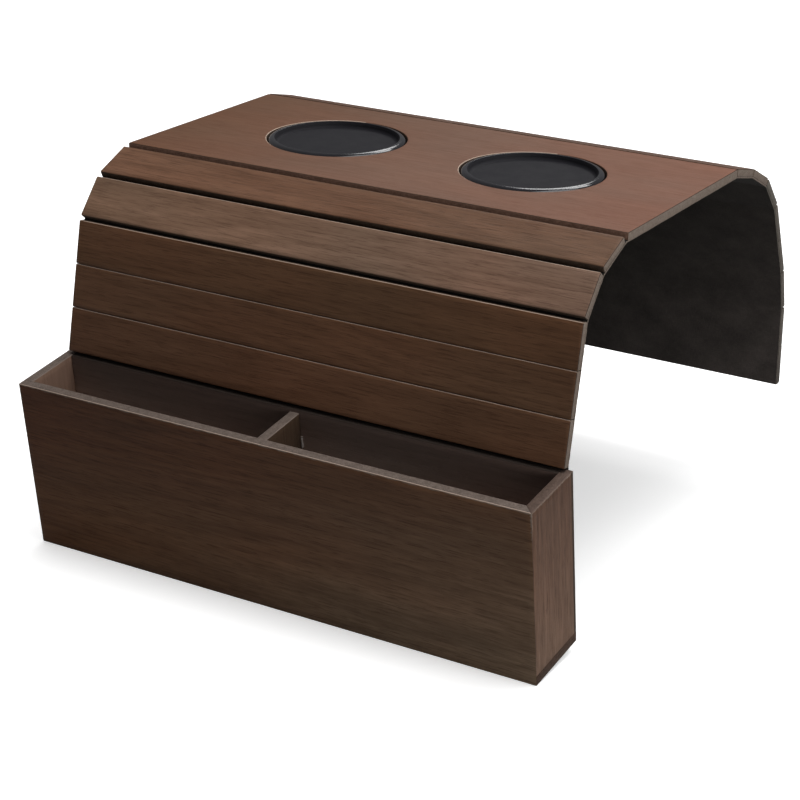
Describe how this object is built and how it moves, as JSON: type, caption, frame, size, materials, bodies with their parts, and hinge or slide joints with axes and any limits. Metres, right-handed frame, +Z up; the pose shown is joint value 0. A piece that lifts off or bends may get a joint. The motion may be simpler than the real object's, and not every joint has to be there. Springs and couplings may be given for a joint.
{
  "type": "sofa arm tray",
  "caption": "Flexible slatted wooden tray that hangs over a sofa arm, with drop-in cup dishes in its flat panel and a divided storage box hinged to its near side.",
  "frame": {"origin": "middle of the under face of the flat panel's cloth, where the tray rests on the sofa arm", "axes": "+Z up out of the flat panel, X along the sofa arm and the slats, -Y towards the near side with the storage box"},
  "size_m": [0.336, 0.3591, 0.2282],
  "materials": {
    "panel_wood": "satin reddish walnut veneer on fibreboard, fine grain along the length",
    "slat_wood": "satin brown walnut veneer on fibreboard, cut edges left taupe",
    "box_wood": "satin dark walnut veneer on fibreboard, grain along the front and upright on the sides",
    "backing_cloth": "matt black-brown non-woven cloth",
    "dish_plastic": "satin black moulded plastic"
  },
  "bodies": {
    "top": {"top_panel": "panel_wood", "backing_top": "backing_cloth"},
    "dish_left": {"cup_dish_left": "dish_plastic"},
    "dish_right": {"cup_dish_right": "dish_plastic"},
    "near_1": {"near_slat_1": "slat_wood", "backing_near_1": "backing_cloth"},
    "near_2": {"near_slat_2": "slat_wood", "backing_near_2": "backing_cloth"},
    "near_3": {"near_slat_3": "slat_wood", "backing_near_3": "backing_cloth"},
    "near_4": {"near_slat_4": "slat_wood", "backing_near_4": "backing_cloth"},
    "near_5": {"near_slat_5": "slat_wood", "backing_near_5": "backing_cloth"},
    "box": {"box_front": "box_wood", "box_back": "box_wood", "box_bottom": "box_wood", "box_left_side": "box_wood", "box_right_side": "box_wood", "box_divider": "box_wood", "backing_box": "backing_cloth"},
    "far_1": {"far_slat_1": "slat_wood", "backing_far_1": "backing_cloth"},
    "far_2": {"far_slat_2": "slat_wood", "backing_far_2": "backing_cloth"},
    "far_3": {"far_slat_3": "slat_wood", "backing_far_3": "backing_cloth"},
    "far_4": {"far_slat_4": "slat_wood", "backing_far_4": "backing_cloth"},
    "far_5": {"far_slat_5": "slat_wood", "backing_far_5": "backing_cloth"},
    "far_6": {"far_slat_6": "slat_wood", "backing_far_6": "backing_cloth"},
    "far_7": {"far_slat_7": "slat_wood", "backing_far_7": "backing_cloth"},
    "far_8": {"far_slat_8": "slat_wood", "backing_far_8": "backing_cloth"}
  },
  "joints": [
    {"name": "top_to_near_1", "type": "hinge", "parent": "top", "child": "near_1", "pos_m": [0, -0.0765, 0], "axis": [1, 0, 0], "range_deg": [-23, 7]},
    {"name": "near_1_to_near_2", "type": "hinge", "parent": "near_1", "child": "near_2", "pos_m": [0, -0.10209, -0.01086], "axis": [1, 0, 0], "range_deg": [-27, 3]},
    {"name": "near_2_to_near_3", "type": "hinge", "parent": "near_2", "child": "near_3", "pos_m": [0, -0.11919, -0.03124], "axis": [1, 0, 0], "range_deg": [-29, 1]},
    {"name": "near_3_to_near_4", "type": "hinge", "parent": "near_3", "child": "near_4", "pos_m": [0, -0.12417, -0.05686], "axis": [1, 0, 0], "range_deg": [0, 30]},
    {"name": "near_4_to_near_5", "type": "hinge", "parent": "near_4", "child": "near_5", "pos_m": [0, -0.12915, -0.08248], "axis": [1, 0, 0], "range_deg": [0, 30]},
    {"name": "near_5_to_box", "type": "hinge", "parent": "near_5", "child": "box", "pos_m": [0, -0.13419, -0.1084], "axis": [1, 0, 0], "range_deg": [-19, 6]},
    {"name": "top_to_far_1", "type": "hinge", "parent": "top", "child": "far_1", "pos_m": [0, 0.0753, 0], "axis": [-1, 0, 0], "range_deg": [-13, 17]},
    {"name": "far_1_to_far_2", "type": "hinge", "parent": "far_1", "child": "far_2", "pos_m": [0, 0.10073, -0.00587], "axis": [-1, 0, 0], "range_deg": [-12, 18]},
    {"name": "far_2_to_far_3", "type": "hinge", "parent": "far_2", "child": "far_3", "pos_m": [0, 0.12439, -0.0169], "axis": [-1, 0, 0], "range_deg": [-22, 8]},
    {"name": "far_3_to_far_4", "type": "hinge", "parent": "far_3", "child": "far_4", "pos_m": [0, 0.14219, -0.03599], "axis": [-1, 0, 0], "range_deg": [-19, 11]},
    {"name": "far_4_to_far_5", "type": "hinge", "parent": "far_4", "child": "far_5", "pos_m": [0, 0.1528, -0.05983], "axis": [-1, 0, 0], "range_deg": [0, 30]},
    {"name": "far_5_to_far_6", "type": "hinge", "parent": "far_5", "child": "far_6", "pos_m": [0, 0.16342, -0.08368], "axis": [-1, 0, 0], "range_deg": [-10, 20]},
    {"name": "far_6_to_far_7", "type": "hinge", "parent": "far_6", "child": "far_7", "pos_m": [0, 0.16973, -0.109], "axis": [-1, 0, 0], "range_deg": [-12, 18]},
    {"name": "far_7_to_far_8", "type": "hinge", "parent": "far_7", "child": "far_8", "pos_m": [0, 0.17064, -0.13509], "axis": [-1, 0, 0], "range_deg": [0, 30]},
    {"name": "dish_left_lift", "type": "slide", "parent": "top", "child": "dish_left", "axis": [0, 0, 1], "range_m": [0, 0.03]},
    {"name": "dish_right_lift", "type": "slide", "parent": "top", "child": "dish_right", "axis": [0, 0, 1], "range_m": [0, 0.03]}
  ]
}
